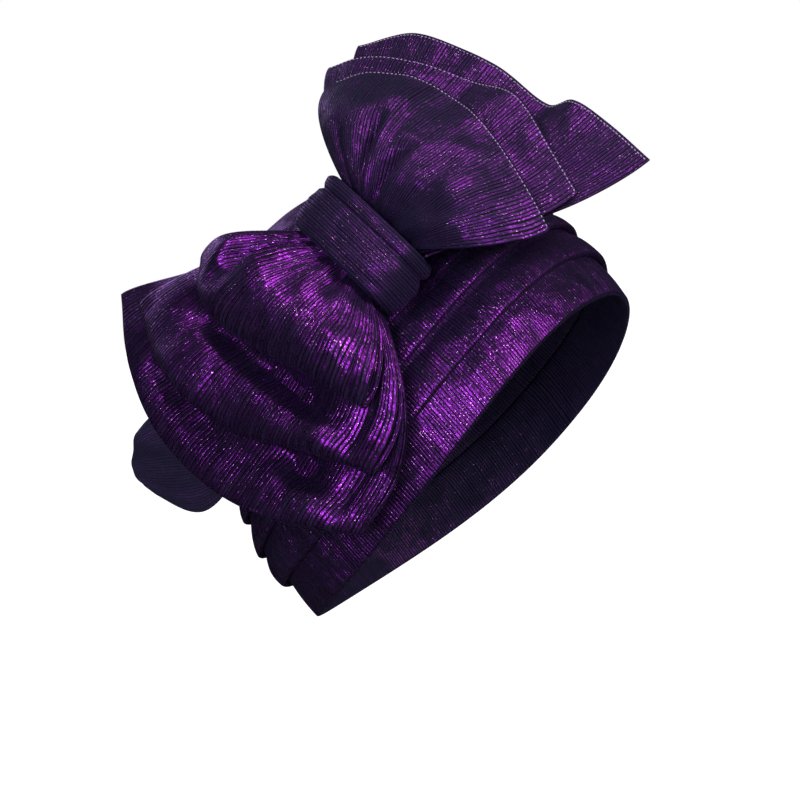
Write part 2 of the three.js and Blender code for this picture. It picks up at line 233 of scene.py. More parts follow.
def laid(name, grid, place):
    """A grid of cloth. place(i, j) gives its points, and where each is on the flat cloth: across and
    along its ribs, and how much of it is lining."""
    columns, rows = grid
    deselect()
    bpy.ops.mesh.primitive_grid_add(x_subdivisions=columns, y_subdivisions=rows, size=2)
    piece = bpy.context.object
    piece.name = name
    mesh = piece.data
    mesh.name = name
    flat = np.empty(len(mesh.vertices) * 3)
    mesh.vertices.foreach_get("co", flat)
    i, j = (flat.reshape(-1, 3)[:, :2].T + 1) / 2
    points, across, along, lining = place(i, j)
    mesh.vertices.foreach_set("co", tipped(points).ravel())
    corner = np.empty(len(mesh.loops), np.int32)
    mesh.loops.foreach_get("vertex_index", corner)
    ribs = np.stack([across, along], 1) * MM
    mesh.uv_layers.active.name = "ribs"
    mesh.uv_layers.active.data.foreach_set("uv", ribs[corner].ravel())
    inner = mesh.attributes.new("lining", "FLOAT", "POINT")
    inner.data.foreach_set("value", np.broadcast_to(np.asarray(lining, float), i.shape).copy())
    mesh.update()
    return piece


def edit(piece, *steps):
    """Runs edit operators on all of a piece's mesh."""
    deselect()
    piece.select_set(True)
    bpy.context.view_layer.objects.active = piece
    bpy.ops.object.mode_set(mode="EDIT")
    bpy.ops.mesh.select_all(action="SELECT")
    for step in steps:
        step()
    bpy.ops.object.mode_set(mode="OBJECT")


def sewn_shut(piece):
    """Joins the edges that meet, and turns the faces outwards."""
    edit(
        piece,
        lambda: bpy.ops.mesh.remove_doubles(threshold=0.00002),
        lambda: bpy.ops.mesh.normals_make_consistent(inside=False),
    )
    deselect()
    piece.select_set(True)
    bpy.ops.object.shade_smooth()
    return piece


def thickened(piece):
    """Gives a sheet the thickness of its cloth, half to each side."""
    deselect()
    piece.select_set(True)
    bpy.context.view_layer.objects.active = piece
    thickness = piece.modifiers.new("thickness", "SOLIDIFY")
    thickness.thickness = cloth_thick * MM
    thickness.offset = 0
    bpy.ops.object.modifier_apply(modifier=thickness.name)
    bpy.ops.object.shade_smooth()
    return piece


def worn(piece, node, cloth):
    """Puts a finished piece in its node's place."""
    piece.data.materials.clear()
    piece.data.materials.append(cloth)
    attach(piece, "root")
    if node:
        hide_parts(node)
    return piece


# The cap


def girth_share(z):
    """The cap's girth at a height, as a share of its widest."""
    down = (girth_height - z) / girth_height
    up = clamp((z - girth_height) / (crown_height - girth_height))
    below = 1 - girth_swell / rim_half_width * down * down
    above = clamp(1 - up**crown_roundness) ** (1 / crown_roundness)
    return np.where(z < girth_height, below, above)


def cap_point(turn, z, outward):
    """A point on the cap, or that far off it: turn runs round from the brow, z up from the rim."""
    step = crown_height / 250
    share = girth_share(clamp(z, 0, crown_height))
    higher = girth_share(clamp(z + step, 0, crown_height))
    lower = girth_share(clamp(z - step, 0, crown_height))
    tilt = np.arctan(-(higher - lower) * rim_half_width / (2 * step))
    e = 2 / rim_squareness
    grow = outward * np.cos(tilt)
    side = (rim_half_width + girth_swell) * share + grow
    length = (rim_half_length + girth_swell) * share + grow
    fade = clamp(1 - z / crown_height)
    inset = nape_in + nape_flat * clamp(z / nape_rise) * fade
    behind = clamp(-np.cos(turn)) ** 1.25
    lean = nape_lean * smooth((z - lean_from) / (lean_to - lean_from)) * share * behind
    return np.stack(
        [
            -side * power(np.sin(turn), e),
            -(length - inset) * power(np.cos(turn), e) - inset - lean,
            z + outward * np.sin(tilt) + rim_dip * fade * np.cos(2 * turn),
        ],
        1,
    )


# lower: lower edge as a share of the crown's height. In walls: under: how far the inside stands off over the
# ring below, swell: how far the rolled lower edge stands out, sway: slow unevenness of that edge.
Ring = namedtuple("Ring", "name lower under swell sway")
rings = [
    Ring("front_band", 0.0, 0, 1.25, 0),
    Ring("fold_ring_1", 0.141, 1.02, 2.75, 0.25),
    Ring("fold_ring_2", 0.27, 1.02, 2.75, 0.5),
    Ring("fold_ring_3", 0.372, 1.02, 2.7, 0.62),
    Ring("crown", 0.45, 1.02, 2.6, 0.69),
]

# share of a ring's height in sight, and how much it swells there
roll_profile = [(0.02, 0.72), (0.1, 1), (0.34, 0.94), (0.6, 0.66), (0.82, 0.26), (0.95, 0)]


def sway_at(ring, turn):
    waves = np.sin(3 * turn + 9 * ring.lower) + 0.6 * np.sin(5 * turn + 20 * ring.lower)
    return ring.sway * wall * waves


def drag(turn, z):
    """Slack of the wrapped cloth, mostly beside the bow and at the nape."""
    beside = 0.35 + bump(turn, math.radians(75), 0.75) + 0.5 * bump(turn, math.radians(150), 0.5)
    return 0.28 * beside * crumple(turn * 3.2 + z / 40, z / 26, 5)


def ring_profile(ring, low, high):
    """Up the rolled face of a ring, into the tuck above it and down its inside."""
    top = 0.8 * wall
    under = ring.under * wall
    corners = [(lerp(low, high, up), lerp(top, ring.swell * wall, face)) for up, face in roll_profile]
    corners += [(high + tuck, top), (high + tuck, 0)]
    if under:
        corners += [(low + tuck + 1.6 * wall, 0), (low + tuck + 0.6 * wall, under)]
        corners += [(low + 0.5 * wall, under)]
    else:
        corners += [(lerp(low, high, 0.5), 0), (low, 0)]
    return lines_through(corners)


def ring_piece(index, cloth):
    ring, above = rings[index], rings[index + 1]

    def place(i, j):
        turn = 2 * math.pi * i + math.pi
        low = ring.lower * crown_height + sway_at(ring, turn)
        high = above.lower * crown_height + sway_at(above, turn)
        z, out = profile_at(ring_profile(ring, low, high), j, 0.36)
        seen = smooth((z - low) / 6) * smooth((high - z) / 6) * smooth(out / wall - 0.4)
        points = cap_point(turn, z, out + drag(turn, z) * seen)
        return points, i * around_rim, z, smooth(1.1 - out / wall)

    piece = sewn_shut(laid(ring.name + "_cloth", ring_grid, place))
    return worn(piece, ring.name, cloth)


def crown_gather(turn, rise):
    back = bump(np.abs(turn - math.pi), 0, 1.1)
    broad = np.cos(9 * turn) + 0.35 * np.cos(23 * turn + 4 * rise)
    return -0.8 * wall * back * broad * np.sin(math.pi * clamp(rise * 1.1))


def crown_profile(ring, turn):
    """Down the inside from the top, round the rolled edge and up the outside. Each corner is its rise over
    the dome from that edge, and how far out it is."""
    inner = [(1, -0.2), (0.88, 0), (0.72, 0), (0.5, 0), (0.24, 0), (0.16, ring.under), (0.03, ring.under)]
    edge = [(0.012, 0.75 * ring.swell), (0.05, ring.swell)]
    corners = [(rise, out * wall) for rise, out in inner + edge]
    for rise in (0.15, 0.28, 0.42, 0.55, 0.68, 0.8, 0.9, 1):
        swell = lerp(1.1, ring.swell, bump(rise, 0.06, 0.16)) * wall
        corners.append((rise, swell + crown_gather(turn, rise)))
    return lines_through([(np.full_like(turn, rise), out) for rise, out in corners])


def crown_piece(cloth):
    ring = rings[-1]
    bottom = ring.lower * crown_height
    tall = crown_height - bottom

    def place(i, j):
        turn = 2 * math.pi * i + math.pi
        line = crown_profile(ring, turn % (2 * math.pi))
        rise, out = profile_at(line, j, 0.45, closed=False)
        rise = clamp(rise)
        z = bottom + tall * np.sin(math.pi / 2 * rise) ** 1.15
        z += sway_at(ring, turn) * (1 - rise) ** 2
        outside = smooth(out / wall - 0.5)
        slack = 0.35 * outside * crumple(3 * turn, 3 * rise, 8) * (1 - rise)
        points = cap_point(turn, z, out + slack)
        reach = (1 - rise) * crown_cloth_reach
        return points, reach * np.sin(turn), reach * np.cos(turn), smooth(1.1 - out / wall)

    piece = sewn_shut(laid("crown_cloth", crown_grid, place))
    return worn(piece, ring.name, cloth)


# The bow, in its own frame: x along the wings, y up the spread, h towards the viewer


def bow_axes():
    out = np.array([-math.sin(bow_facing), -math.cos(bow_facing), 0])
    level = np.array([math.cos(bow_facing), -math.sin(bow_facing), 0])
    up = np.array([0, 0, 1])
    facing = out * math.cos(bow_lean) + up * math.sin(bow_lean)
    rise = up * math.cos(bow_lean) - out * math.sin(bow_lean)
    along = level * math.cos(bow_roll) + rise * math.sin(bow_roll)
    across = rise * math.cos(bow_roll) - level * math.sin(bow_roll)
    return along, across, facing


bow_along, bow_across, bow_facing_way = bow_axes()
bow_middle = np.array([-knot_right, -knot_front, knot_above])


def bow_point(x, y, h):
    return (
        bow_middle
        + np.multiply.outer(x, bow_along)
        + np.multiply.outer(y, bow_across)
        + np.multiply.outer(h, bow_facing_way)
    )


def fall_back(x, bend):
    u = np.maximum(0, x - neck_length)
    bent = np.where(u < bend_turn, u * u / (2 * bend_turn), u - bend_turn / 2)
    return -math.tan(bend) * bent


# Outer edges: place across the cloth from the low edge to the high one, reach as a share of the wing's
# reach, spread as a share of half its spread, and how the edge waves towards the viewer, in walls.
Edge = namedtuple("Edge", "across reach spread lift")
edges = {
    "upper_loop_front": [
        Edge(-1, 0.44, -0.59, -4.5),
        Edge(-0.7, 0.51, -0.4, -0.5),
        Edge(-0.35, 0.575, -0.17, 1),
        Edge(0, 0.61, 0.05, 0.5),
        Edge(0.4, 0.59, 0.32, 1),
        Edge(0.72, 0.51, 0.52, 0),
        Edge(1, 0.41, 0.67, -4),
    ],
    "upper_loop_middle": [
        Edge(-1, 0.615, -0.515, -3.5),
        Edge(-0.7, 0.68, -0.32, -0.5),
        Edge(-0.3, 0.765, -0.03, 1),
        Edge(0.02, 0.73, 0.18, -1.5),
        Edge(0.35, 0.67, 0.41, 0.8),
        Edge(0.72, 0.57, 0.67, -0.5),
        Edge(1, 0.455, 0.82, -3.5),
    ],
    "upper_loop_back": [
        Edge(-1, 0.875, -0.6, -2.5),
        Edge(-0.68, 0.885, -0.38, 2),
        Edge(-0.44, 0.88, -0.2, 2.8),
        Edge(-0.24, 0.83, -0.07, -2.5),
        Edge(0.12, 0.83, 0.22, 1),
        Edge(0.6, 0.76, 0.63, 0.5),
        Edge(1, 0.6, 0.85, -2.5),
    ],
    "lower_loop_front": [
        Edge(-1, 0.435, -0.52, -2.5),
        Edge(-0.6, 0.47, -0.29, 2),
        Edge(-0.2, 0.505, -0.06, 1),
        Edge(0.2, 0.53, 0.17, 1),
        Edge(0.6, 0.505, 0.39, 0),
        Edge(1, 0.4, 0.54, -3),
    ],
    "lower_loop_middle": [
        Edge(-1, 0.585, -0.64, -2.5),
        Edge(-0.6, 0.67, -0.37, 0.5),
        Edge(-0.2, 0.765, -0.08, -1),
        Edge(0.2, 0.81, 0.21, 1.5),
        Edge(0.6, 0.77, 0.5, 0),
        Edge(1, 0.67, 0.78, -2),
    ],
    "lower_loop_back": [
        Edge(-1, 0.77, -0.68, -1),
        Edge(-0.6, 0.92, -0.36, 0.5),
        Edge(-0.2, 0.995, 0, -0.5),
        Edge(0.2, 0.98, 0.37, 1),
        Edge(0.6, 0.87, 0.71, 0),
        Edge(1, 0.68, 1, -1.5),
    ],
}

# Folded-in creases that rise from the knot: place across the cloth, how that shifts on the way out, from
# and to where along the way, width on the low side and on the high side, depth in walls.
Crease = namedtuple("Crease", "at lean start end low_width high_width depth")
creases = {
    "upper_loop_front": [
        Crease(0.42, -0.1, 0, 0.6, 0.05, 0.1, 4.6),
        Crease(0.12, -0.25, 0, 0.5, 0.05, 0.1, 4.4),
        Crease(-0.55, -0.2, 0, 0.45, 0.12, 0.16, 2.4),
        Crease(0.72, 0.05, 0, 0.4, 0.06, 0.06, 2.4),
    ],
    "upper_loop_middle": [Crease(0.05, 0, 0.5, 1.1, 0.12, 0.12, 1.4)],
    "upper_loop_back": [Crease(-0.2, 0, 0.3, 1.2, 0.12, 0.12, 2.2)],
    "lower_loop_front": [
        Crease(0.5, 0.02, 0, 0.62, 0.045, 0.26, 8.4),
        Crease(0.52, 0.08, 0.35, 0.9, 0.14, 0.14, 3),
        Crease(-0.34, -0.05, 0, 0.26, 0.07, 0.12, 4.8),
        Crease(-0.82, 0, 0.05, 0.8, 0.05, 0.08, 1.6),
    ],
    "lower_loop_middle": [
        Crease(0.25, -0.1, 0.35, 1, 0.14, 0.14, 2.2),
        Crease(-0.45, 0.05, 0.3, 0.95, 0.16, 0.16, 2),
        Crease(-0.84, 0.02, 0.05, 1, 0.04, 0.07, 2.2),
    ],
    "lower_loop_back": [
        Crease(0.05, 0.05, 0.4, 1, 0.13, 0.13, 1.6),
        Crease(-0.55, 0, 0.4, 1, 0.16, 0.16, 1.6),
        Crease(-0.86, 0.02, 0.05, 1, 0.04, 0.07, 2.2),
    ],
}

# Hollows that the loop above has pressed into a loop, and ridges, whose depth is below zero: distance out
# from the knot's middle in mm, width there, place and width across the cloth, depth in walls.
Hollow = namedtuple("Hollow", "out width at spread depth")
hollows = {
    "lower_loop_middle": [
        Hollow(59, 8, 0.42, 0.24, 5.5),
        Hollow(58, 8, -0.2, 0.36, 7),
        Hollow(71, 9, -0.66, 0.12, -3),
        Hollow(88, 14, 0.42, 0.26, -3.6),
    ],
    "lower_loop_back": [
        Hollow(86, 9, 0.3, 0.26, 4),
        Hollow(79, 8, -0.5, 0.2, 4.5),
        Hollow(92, 7, -0.05, 0.2, 1.4),
        Hollow(92, 13, -0.72, 0.16, -2.6),
    ],
}

# Wing (1 upper, -1 lower), height in the knot, height at the outer edge, how far the front and back plies
# puff, half the space between the plies in the knot, how the side edges turn back, all in walls; then how
# roundly the low and high side edges spread from the knot, and half the width of the flat cloth in mm.
Layer = namedtuple("Layer", "wing neck out front back split curl low high half_width")
layers = {
    "upper_loop_front": Layer(1, 3.6, 3.8, 6.5, 0, 0, 2.2, 2, 1.9, 66),
    "upper_loop_middle": Layer(1, -0.6, -1.9, 2, 0, 0, 2.2, 1.7, 1.45, 72),
    "upper_loop_back": Layer(1, -4.4, -7.5, 0, 0, 0, 1.2, 1.4, 1.3, 82),
    "lower_loop_front": Layer(-1, 4, 7.5, 6.2, 2.5, 1, 2.1, 2.3, 1.8, 56),
    "lower_loop_middle": Layer(-1, -0.4, -1.3, 5, 1.8, 1, 2.6, 2.8, 1.4, 72),
    "lower_loop_back": Layer(-1, -5.1, -9.8, 2.4, 2.5, 1, 1.8, 3.2, 1.15, 84),
}


def edge_at(name, column, across):
    """A value of a layer's outer edge, smooth through the rows of its table."""
    rows = edges[name]
    keys = np.array([row.across for row in rows], float)
    values = np.array([getattr(row, column) for row in rows], float)
    last = len(rows) - 1
    i = np.clip(np.searchsorted(keys, across, side="left") - 1, 0, last - 1)
    before, after = np.maximum(0, i - 1), np.minimum(last, i + 2)
    span = keys[i + 1] - keys[i]
    t = clamp((across - keys[i]) / span)
    slope_in = (values[i + 1] - values[before]) / (keys[i + 1] - keys[before]) * span
    slope_out = (values[after] - values[i]) / (keys[after] - keys[i]) * span
    return cubic(t, values[i], slope_in, values[i + 1], slope_out)


def crease_reach(crease, free):
    """Where along the way a crease is there, from 0 to 1."""
    return smooth((free - crease.start + 0.12) / 0.2) * smooth((crease.end - free) / 0.3 + 0.3)


def creased(name, s, free):
    dent = np.zeros_like(s)
    for crease in creases[name]:
        middle = crease.at + crease.lean * free
        width = np.where(s < middle, crease.low_width, crease.high_width)
        dent += crease.depth * crease_reach(crease, free) * bump(s, middle, width)
    return dent


def lapped(name, s, free):
    """How far the cloth laps over its first crease, where that is deep, in mm."""
    crease = creases[name][0]
    beside = crease.at + crease.lean * free - 0.06
    return 0.85 * max(0, crease.depth - 3) * crease_reach(crease, free) * bump(s, beside, 0.075)


def hollowed(name, s, x):
    dent = np.zeros_like(s)
    for hollow in hollows.get(name, ()):
        dent += hollow.depth * bump(x, hollow.out, hollow.width) * bump(s, hollow.at, hollow.spread)
    return dent


def gathers(s, free):
    """Pleats drawn together by the knot, broad ones and the finer ones on them."""
    broad = pleat_depth * np.cos(pleat_count * math.pi * (s + 0.1)) * (1 - free) ** 2
    fine = 0.22 * np.cos(13 * math.pi * (s + 0.03 * np.sin(9 * s))) * (1 - free) ** 1.6
    return (1 - s * s) * (broad + fine)


def layer_height(name, s, x, free, ply, seed):
    """How far the cloth stands towards the viewer before its wing falls back, in mm."""
    layer = layers[name]
    sideways = 1 - 0.35 * s * s
    h = lerp(layer.neck * sideways, layer.out, smooth(free * 1.4))
    h += edge_at(name, "lift", s) * free * free
    h -= layer.curl * s**4 * np.sin(math.pi * clamp(free * 0.9))
    puff = np.sqrt(clamp(1 - free**4)) * free * (2 - free)
    closing = 1 - 0.5 * s**4
    dent = creased(name, s, free)
    apart = layer.split * sideways * (1 - free)
    before = apart + (layer.front * closing - dent) * puff - hollowed(name, s, x)
    behind = -apart - layer.back * closing * puff
    single = layer.front * np.sin(math.pi * free**0.8) * closing - dent * np.sin(math.pi * free)
    h += np.where(ply > 0, before, np.where(ply < 0, behind, single))
    loose = smooth(free * 3) * (1 - 0.6 * s**4)
    soft = crumple(1.5 * s + 0.4 * free, 1.6 * free + 0.3 * ply, seed) * 0.75
    soft += crumple(3.4 * s, 2.4 * free + ply, seed + 1) * 0.3
    return h * wall + gathers(s, free) + soft * loose


def layer_point(name, s, t, ply, seed):
    """Where the cloth lies, and its reach there: s from -1 to 1 across, t from the knot to the outer edge,
    ply 1 in front, -1 behind, 0 for a single layer."""
    layer = layers[name]
    reach = edge_at(name, "reach", s) * wing_reach
    spread = edge_at(name, "spread", s) * wing_half
    neck_y = s * neck_half
    root = wing_root + layer.wing * knot_skew * neck_y
    x = lerp(root, reach, t)
    neck_share = (neck_length - wing_root) / (reach - root)
    free = clamp((t - neck_share) / (1 - neck_share))
    flare = 1 - (1 - free) ** lerp(layer.low, layer.high, (s + 1) / 2)
    y = lerp(neck_y, spread, flare)
    y += np.where(ply > 0, 1, 0) * lapped(name, s, free) * smooth(free * 5)
    bend = upper_bend if layer.wing > 0 else lower_bend
    h = layer_height(name, s, x, free, ply, seed) + fall_back(x, bend)
    return bow_point(layer.wing * x, y, h), reach


def flap_piece(name, cloth, seed):
    half = layers[name].half_width

    def place(i, j):
        s, t = 2 * i - 1, j**0.9
        points, reach = layer_point(name, s, t, 0 * s, seed)
        return points, s * half, t * reach, 0

    piece = thickened(laid(name + "_cloth", flap_grid, place))
    return worn(piece, name, cloth)


def loop_piece(name, cloth, seed):
    half = layers[name].half_width

    def place(i, j):
        s, t = 1 - 2 * i, np.sin(math.pi * j)
        ply = np.where(j < 0.5, 1.0, -1.0)
        points, reach = layer_point(name, s, t, ply, seed)
        return points, s * half, np.where(j < 0.5, t, 2 - t) * reach, 0

    piece = thickened(laid(name + "_cloth", loop_grid, place))
    return worn(piece, name, cloth)


def unit(ways):
    return ways / np.linalg.norm(ways, axis=1)[:, None]


def stitch_places(flap, seed):
    """The middle of each hem stitch, and its ways along the hem, across it and off the cloth."""
    count = int(2 * layers[flap].half_width / stitch_pitch)
    s = np.linspace(-0.985, 0.985, count * 2 + 1)
    hem, _ = layer_point(flap, s, 1 - stitch_in + 0 * s, 0 * s, seed)
    further_in, _ = layer_point(flap, s, 1 - stitch_far_in + 0 * s, 0 * s, seed)
    along = hem[2:] - hem[:-2]
    off = unit(np.cross(along, further_in[1:-1] - hem[1:-1]))
    off *= np.sign(off @ bow_facing_way)[:, None]
    along, off = unit(along)[::2], off[::2]
    middles = hem[1:-1][::2] + off * (cloth_thick / 2 + 0.05)
    return middles, along, np.cross(off, along), off


def stitch_line(name, flap, thread, seed):
    """A row of small bright stitches just inside a flap's outer edge."""
    deselect()
    bpy.ops.mesh.primitive_uv_sphere_add(segments=6, ring_count=4, radius=1)
    ball = bpy.context.object
    corners = np.array([vertex.co[:] for vertex in ball.data.vertices])
    faces = [tuple(face.vertices) for face in ball.data.polygons]
    bpy.data.objects.remove(ball)
    middles, *ways = stitch_places(flap, seed)
    points = middles[:, None]
    for k, (way, size) in enumerate(zip(ways, stitch_size)):
        points = points + corners[None, :, k : k + 1] * way[:, None] * size
    firsts = range(0, len(middles) * len(corners), len(corners))
    all_faces = [tuple(first + v for v in face) for first in firsts for face in faces]
    mesh = bpy.data.meshes.new(name)
    mesh.from_pydata(tipped(points.reshape(-1, 3)).tolist(), [], all_faces)
    mesh.update()
    piece = bpy.data.objects.new(name, mesh)
    bpy.context.collection.objects.link(piece)
    return worn(sewn_shut(piece), None, thread)


# The knot: a band wrapped round the neck of the bow. Place across the band as a share of half its width,
# and how far it stands off the neck, in walls: over its face, then back along its inside.
knot_profile = [
    (-1, 0.7),
    (-0.86, 1.6),
    (-0.5, 2.3),
    (0, 2.5),
    (0.34, 2.1),
    (0.48, 1.3),
    (0.62, 2.1),
    (0.84, 2.2),
    (1, 1.2),
    (0.96, 0.125),
    (0, 0),
    (-0.96, 0.125),
]


def knot_piece(cloth):
    in_length = knot_half_length - 2.2 * wall
    in_depth = knot_half_depth - 2.4 * wall
    e = 2 / knot_squareness

    def place(i, j):
        turn = 2 * math.pi * i
        line = lines_through([(np.full_like(turn, x), out * wall) for x, out in knot_profile])
        x, out = profile_at(line, j, 0.36)
        face = smooth(out / wall - 0.6)
        pleats = 0.14 * np.cos(4 * math.pi * x + 0.8 * np.sin(turn + 1))
        pleats += 0.16 * crumple(1.2 * x, 0.8 * turn, 31)
        out = out + face * pleats
        y = (in_length + out) * power(np.cos(turn), e)
        h = (in_depth + out) * power(np.sin(turn), e)
        points = bow_point(x * knot_half_band + knot_skew * y, y, h)
        return points, x * knot_half_band * 1.15, i * knot_cloth_along, 1 - face

    piece = sewn_shut(laid("bow_knot_cloth", knot_grid, place))
    return worn(piece, "bow_knot", cloth)


# The tail: the flared end of the cap cloth


def tail_piece(cloth):
    up = untipped(0, 0, 1)
    back = untipped(*tail_way)
    face = np.cross(back, up)

    def place(i, j):
        side = 2 * i - 1
        root = cap_point(tail_turn + 0 * i, lerp(tail_high, tail_low, i), lerp(1.4, 2.9, i) * wall)
        half = lerp(tail_root_half, tail_end_half, j) + tail_belly * np.sin(math.pi * j)
        reach = tail_length * (1 - 0.16 * side**4 + 0.05 * np.cos(5 * side)) * j
        wave = tail_wave_depth * j * np.sin(1.7 * math.pi * side + 2.2 * j)
        wave += 0.5 * j * crumple(1.4 * side, 1.3 * j, 41)
        points = (
            root
            + np.multiply.outer(reach, back)
            - np.multiply.outer(side * (half - tail_root_half), up)
            + np.multiply.outer(wave, face)
        )
        return points, side * tail_cloth_across / 2, j * tail_length, 0

    piece = thickened(laid("back_tail_cloth", tail_grid, place))
    return worn(piece, "back_tail", cloth)


# Finishes


class Wire:
    """A socket that can be used in sums."""

    def __init__(self, finish, socket):
        self.finish = finish
        self.socket = socket

    def __add__(self, other):
        return self.finish.maths("ADD", self, other)

    __radd__ = __add__

    def __mul__(self, other):
        return self.finish.maths("MULTIPLY", self, other)

    __rmul__ = __mul__

    def __sub__(self, other):
        return self.finish.maths("SUBTRACT", self, other)

    def __rsub__(self, other):
        return self.finish.maths("SUBTRACT", other, self)

    def clipped(self):
        return self.finish.maths("MAXIMUM", self.finish.maths("MINIMUM", self, 1.0), 0.0)


class Finish:
    """A material and its nodes."""

    def __init__(self, name):
        self.material = bpy.data.materials.new(name)
        self.material.use_nodes = True
        self.tree = self.material.node_tree
        self.tree.nodes.clear()

    def wires(self, kind, settings=None, sockets=None):
        """Adds a node and gives all its outputs."""
        made = self.tree.nodes.new(kind)
        for key, value in (settings or {}).items():
            setattr(made, key, value)
        for key, value in (sockets or {}).items():
            if isinstance(value, Wire):
                self.tree.links.new(value.socket, made.inputs[key])
            else:
                made.inputs[key].default_value = value
        return [Wire(self, socket) for socket in made.outputs]

    def node(self, kind, settings=None, sockets=None, output=0):
        """Adds a node and gives one of its outputs."""
        return self.wires(kind, settings, sockets)[output]

    def maths(self, operation, a, b=0.0):
        return self.node("ShaderNodeMath", {"operation": operation}, {0: a, 1: b})

    def vectors(self, operation, a, b=(0, 0, 0)):
        return self.node("ShaderNodeVectorMath", {"operation": operation}, {0: a, 1: b})

    def mixed(self, factor, a, b):
        return self.node("ShaderNodeMix", {"data_type": "RGBA"}, {0: factor, 6: a, 7: b}, output=2)

    def noise(self, place, scale, detail=2.0, roughness=0.5):
        kind = "ShaderNodeTexNoise"
        sockets = {"Vector": place, "Scale": scale, "Detail": detail, "Roughness": roughness}
        return self.node(kind, {}, sockets)

    def place(self, x, y):
        return self.node("ShaderNodeCombineXYZ", {}, {0: x, 1: y, 2: 0.0})

    def between(self, value, low, high):
        return self.node(
            "ShaderNodeMapRange",
            {"interpolation_type": "SMOOTHSTEP"},
            {"Value": value, "From Min": low, "From Max": high},
        )

    def body_place(self):
        """Where a point is on the whole cap, in metres."""
        return self.node("ShaderNodeTexCoord", output=3)

    def raised(self, height, deep, normal=None):
        sockets = {"Strength": 1.0, "Distance": deep, "Height": height}
        if normal:
            sockets["Normal"] = normal
        return self.node("ShaderNodeBump", {}, sockets)

    def shown(self, surface):
        self.wires("ShaderNodeOutputMaterial", {}, {"Surface": surface})
        return self.material


def opaque(colour, share=1):
    return tuple(share * part for part in colour) + (1,)


def flat_place(cloth):
    """Where a point is on the flat cloth, across and along its ribs, in mm."""
    ribs = cloth.node("ShaderNodeUVMap", {"uv_map": "ribs"})
    across, along, _ = cloth.wires("ShaderNodeSeparateXYZ", {}, {0: ribs})
    return across * 1000.0, along * 1000.0


def rib_crest(cloth, rib_place, across, along):
    """1 on a rib's crest and less in the furrows between ribs, which are drawn in more here than there; the
    yarn is darkened there as painted shade.
    """
    rib = cloth.maths("ABSOLUTE", cloth.maths("SINE", rib_place * math.pi))
    drawn_in = cloth.between(cloth.noise(cloth.place(across * 0.7, along * 0.03), 1.0), 0.35, 0.6)
    return 1 - (1 - cloth.between(rib, 0.2, 0.8)) * (drawn_in * 0.3 + 0.7)


def thread_beads(cloth, rib_place, along):
    """One bead for each stitch of metal thread, two abreast on each rib: how round it stands at a point, its
    own brightness and its own lean."""
    beads = {"Vector": cloth.place(rib_place * 2.0, along * 1.1), "Scale": 1.0, "Randomness": 0.6}
    from_middle, own, *_ = cloth.wires("ShaderNodeTexVoronoi", {}, beads)
    brightness = cloth.node("ShaderNodeSeparateColor", {}, {0: own})
    lean = cloth.vectors("MULTIPLY", cloth.vectors("SUBTRACT", own, (0.5, 0.5, 0.5)), (0.24, 0.24, 0.24))
    return cloth.between(from_middle, 0.5, 0.12), cloth.between(brightness, 0.2, 0.9), lean


def cloth_relief(cloth, height):
    """The ribs, raised on the slack of the cloth, which breaks its lights into patches."""
    slack = cloth.noise(cloth.vectors("ADD", cloth.body_place(), slack_from), 40.0)
    return cloth.raised(height, rib_depth, cloth.raised(slack, slack_depth))


def yarn(cloth, colour, normal):
    sockets = {
        "Base Color": colour,
        "Roughness": 0.6,
        "Normal": normal,
        "Specular IOR Level": 0.1,
        "Sheen Weight": 0.025,
        "Sheen Roughness": 0.45,
        "Sheen Tint": (0.4, 0.4, 0.75, 1),
    }
    return cloth.node("ShaderNodeBsdfPrincipled", {}, sockets)


def foil(cloth, colour, normal):
    sockets = {"Base Color": colour, "Metallic": 1.0, "Roughness": 0.33, "Normal": normal}
    return cloth.node("ShaderNodeBsdfPrincipled", {}, sockets)


def ribbed_jersey(name, rib_pitch, colour, metal_and_painted_light, groove_shade=0.1):
    """Crinkled rib jersey: dark yarn with violet metal thread knitted along the crests of its ribs; the
    metal is scaled for each piece as painted light and shade.
    """
    cloth = Finish(name)
    across, along = flat_place(cloth)
    lining = cloth.node("ShaderNodeAttribute", {"attribute_name": "lining"}, output=2)
    wander = cloth.noise(cloth.place(across * 0.2, along * 0.02), 1.0)
    rib_place = across * (1 / rib_pitch) + wander * 1.6
    crest = rib_crest(cloth, rib_place, across, along)
    bead, brightness, lean = thread_beads(cloth, rib_place, along)
    sparkle = bead * brightness
    crinkle = cloth.noise(cloth.place(across * 0.5, along * 0.06), 1.0, 3.0, 0.6)
    shows = cloth.between(crinkle, 0.3, 0.62)
    # Painted light and shade: the metal is scaled up for pieces that stand in the light and down for pieces
    # in shade.
    metal = crest * (shows * 0.3 + 0.1 + sparkle * 0.65) * (1 - lining * 0.9) * metal_and_painted_light
    relief = cloth_relief(cloth, crest + bead * 0.2)
    # Painted shade: the yarn colour is darkened in the furrows between the ribs.
    dark = cloth.mixed(crest, opaque(colour, groove_shade), opaque(colour))
    bright = cloth.mixed(sparkle * sparkle, opaque(violet_thread), opaque(violet_glint))
    glinting = cloth.vectors("NORMALIZE", cloth.vectors("ADD", relief, lean))
    sockets = {0: metal.clipped(), 1: yarn(cloth, dark, relief), 2: foil(cloth, bright, glinting)}
    return cloth.shown(cloth.node("ShaderNodeMixShader", {}, sockets))


def plain(name, colour, roughness, metallic=0.0, glow=0.0):
    finish = Finish(name)
    speckle = finish.noise(finish.body_place(), 900.0)
    sockets = {
        "Base Color": finish.mixed(speckle, opaque(colour, 0.8), opaque(colour)),
        "Roughness": roughness,
        "Metallic": metallic,
        "Emission Color": (1, 1, 1, 1),
        "Emission Strength": glow,
    }
    return finish.shown(finish.node("ShaderNodeBsdfPrincipled", {}, sockets))


# Studio


